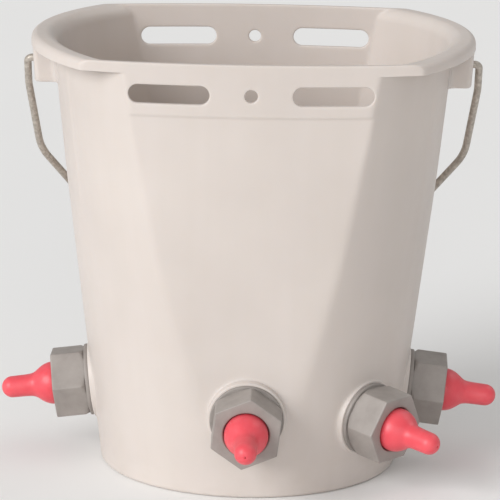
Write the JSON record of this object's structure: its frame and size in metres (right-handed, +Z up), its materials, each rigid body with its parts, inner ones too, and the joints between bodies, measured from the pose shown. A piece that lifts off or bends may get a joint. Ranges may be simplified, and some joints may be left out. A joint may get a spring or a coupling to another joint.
{
  "type": "calf feeding bucket",
  "caption": "Tapered plastic feeding bucket with slotted flats, a wire bail and rubber sucking teats held by hexagonal union nuts round its foot.",
  "frame": {"origin": "centre of the round underside, on the plane it stands on", "axes": "+Z up; -Y is the front flat with the front teat; the bail turns about an axis along X; +X is the side next to the diagonal teat"},
  "size_m": [0.337, 0.2803, 0.294],
  "materials": {
    "bucket_plastic": "satin",
    "bail_wire": "galvanised, dull",
    "fitting_plastic": "satin",
    "teat_rubber": "soft sheen",
    "seal_rubber": "matt",
    "ball_plastic": "gloss",
    "cage_plastic": "satin"
  },
  "bodies": {
    "bucket_body": {"bucket": "bucket_plastic", "valve_body_left": "fitting_plastic", "valve_seal_left": "seal_rubber", "ball_cage_left": "cage_plastic", "collar_washer_left": "fitting_plastic", "valve_body_front": "fitting_plastic", "valve_seal_front": "seal_rubber", "ball_cage_front": "cage_plastic", "collar_washer_front": "fitting_plastic", "valve_body_right_front": "fitting_plastic", "valve_seal_right_front": "seal_rubber", "ball_cage_right_front": "cage_plastic", "collar_washer_right_front": "fitting_plastic", "valve_body_right": "fitting_plastic", "valve_seal_right": "seal_rubber", "ball_cage_right": "cage_plastic", "collar_washer_right": "fitting_plastic"},
    "bail_body": {"bail": "bail_wire"},
    "teat_left_body": {"teat_left": "teat_rubber"},
    "nut_left_body": {"union_nut_left": "fitting_plastic"},
    "ball_left_body": {"check_ball_left": "ball_plastic"},
    "teat_front_body": {"teat_front": "teat_rubber"},
    "nut_front_body": {"union_nut_front": "fitting_plastic"},
    "ball_front_body": {"check_ball_front": "ball_plastic"},
    "teat_right_front_body": {"teat_right_front": "teat_rubber"},
    "nut_right_front_body": {"union_nut_right_front": "fitting_plastic"},
    "ball_right_front_body": {"check_ball_right_front": "ball_plastic"},
    "teat_right_body": {"teat_right": "teat_rubber"},
    "nut_right_body": {"union_nut_right": "fitting_plastic"},
    "ball_right_body": {"check_ball_right": "ball_plastic"}
  },
  "joints": [
    {"name": "bail_swing", "type": "hinge", "parent": "bucket_body", "child": "bail_body", "pos_m": [0, 0, 0.2743], "axis": [1, 0, 0], "range_deg": [0, 295]},
    {"name": "teat_left_draw", "type": "slide", "parent": "bucket_body", "child": "teat_left_body", "axis": [-0.9926, 0, -0.1216], "range_m": [0, 0.0116]},
    {"name": "nut_left_turn", "type": "hinge", "parent": "teat_left_body", "child": "nut_left_body", "pos_m": [-0.10637, 0, 0.052], "axis": [-0.9926, 0, -0.1216], "range_deg": [0, 1800]},
    {"name": "ball_left_lift", "type": "slide", "parent": "bucket_body", "child": "ball_left_body", "axis": [0.9926, 0, 0.1216], "range_m": [0, 0.003]},
    {"name": "teat_front_draw", "type": "slide", "parent": "bucket_body", "child": "teat_front_body", "axis": [0, -0.9926, -0.1216], "range_m": [0, 0.0116]},
    {"name": "nut_front_turn", "type": "hinge", "parent": "teat_front_body", "child": "nut_front_body", "pos_m": [0, -0.10692, 0.0565], "axis": [0, -0.9926, -0.1216], "range_deg": [0, 1800]},
    {"name": "ball_front_lift", "type": "slide", "parent": "bucket_body", "child": "ball_front_body", "axis": [0, 0.9926, 0.1216], "range_m": [0, 0.003]},
    {"name": "teat_right_front_draw", "type": "slide", "parent": "bucket_body", "child": "teat_right_front_body", "axis": [0.7376, -0.6642, -0.1216], "range_m": [0, 0.0116]},
    {"name": "nut_right_front_turn", "type": "hinge", "parent": "teat_right_front_body", "child": "nut_right_front_body", "pos_m": [0.07877, -0.07093, 0.049], "axis": [0.7376, -0.6642, -0.1216], "range_deg": [0, 1800]},
    {"name": "ball_right_front_lift", "type": "slide", "parent": "bucket_body", "child": "ball_right_front_body", "axis": [-0.7376, 0.6642, 0.1216], "range_m": [0, 0.003]},
    {"name": "teat_right_draw", "type": "slide", "parent": "bucket_body", "child": "teat_right_body", "axis": [0.9926, 0, -0.1216], "range_m": [0, 0.0116]},
    {"name": "nut_right_turn", "type": "hinge", "parent": "teat_right_body", "child": "nut_right_body", "pos_m": [0.10637, 0, 0.052], "axis": [0.9926, 0, -0.1216], "range_deg": [0, 1800]},
    {"name": "ball_right_lift", "type": "slide", "parent": "bucket_body", "child": "ball_right_body", "axis": [-0.9926, 0, 0.1216], "range_m": [0, 0.003]}
  ],
  "couplings": [
    {"joint": "teat_left_draw", "follows": "nut_left_turn", "m_per_rad": 0.00036749},
    {"joint": "teat_front_draw", "follows": "nut_front_turn", "m_per_rad": 0.00036749},
    {"joint": "teat_right_front_draw", "follows": "nut_right_front_turn", "m_per_rad": 0.00036749},
    {"joint": "teat_right_draw", "follows": "nut_right_turn", "m_per_rad": 0.00036749}
  ]
}
